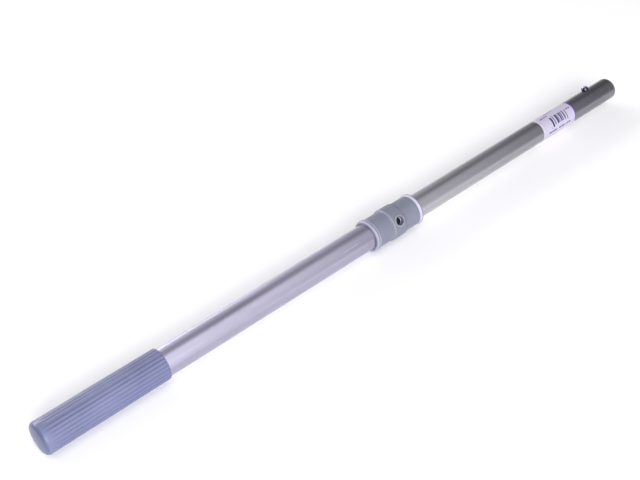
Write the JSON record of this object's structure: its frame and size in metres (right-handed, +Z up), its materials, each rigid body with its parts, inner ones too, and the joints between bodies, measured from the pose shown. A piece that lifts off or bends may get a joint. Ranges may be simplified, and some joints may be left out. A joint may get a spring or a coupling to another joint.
{
  "type": "telescoping window cleaning pole",
  "caption": "Telescoping aluminium pole with a ribbed vinyl grip, a moulded lock collar, a spring button near the tip and a domed end plug, for window cleaning heads.",
  "frame": {"origin": "under the middle of the pole, level with the lowest point of the collar", "axes": "+X along the pole from the butt of the grip to the tip, +Z up, the lock window facing -Y and up"},
  "size_m": [0.734, 0.032, 0.032],
  "materials": {
    "grip_vinyl": "soft satin vinyl with long ribs",
    "lower_aluminium": "satin anodised, drawn along its length",
    "upper_aluminium": "satin anodised, drawn along its length",
    "collar_plastic": "fine-textured matt moulding",
    "inner_plastic": "plain natural nylon",
    "tip_plastic": "grey satin moulding",
    "label_paper": "coated label stock",
    "button_chrome": "bright plated",
    "pin_steel": "plain bright steel",
    "lock_black": "black, polished by use"
  },
  "bodies": {
    "handle_section": {"hand_grip": "grip_vinyl", "butt_plug": "inner_plastic", "outer_tube": "lower_aluminium", "collar_body": "collar_plastic", "collar_pins": "pin_steel", "guide_bush": "inner_plastic"},
    "glide": {"glide_ring": "inner_plastic"},
    "upper_section": {"inner_tube": "upper_aluminium", "stock_label": "label_paper", "tip_plug": "tip_plastic", "tip_button_spring": "pin_steel", "lock_button_spring": "pin_steel", "lower_end_plug": "inner_plastic", "retaining_washer": "pin_steel", "retaining_screw": "pin_steel"},
    "tip_button": {"tip_button": "button_chrome"},
    "lock_button": {"lock_button": "lock_black"}
  },
  "joints": [
    {"name": "extension_slide", "type": "slide", "parent": "handle_section", "child": "glide", "axis": [1, 0, 0], "range_m": [-0.19, 0]},
    {"name": "upper_turn", "type": "hinge", "parent": "glide", "child": "upper_section", "pos_m": [0, 0, 0.016], "axis": [1, 0, 0], "continuous": true},
    {"name": "tip_button_press", "type": "slide", "parent": "upper_section", "child": "tip_button", "axis": [0, -0.515, -0.8572], "range_m": [0, 0.0044], "stiffness_N_per_m": 1200, "springref_m": -0.004, "deforming": ["tip_button_spring"]},
    {"name": "lock_button_press", "type": "slide", "parent": "upper_section", "child": "lock_button", "axis": [0, 0.7986, -0.6018], "range_m": [0, 0.002], "stiffness_N_per_m": 1200, "springref_m": -0.004, "deforming": ["lock_button_spring"]}
  ]
}
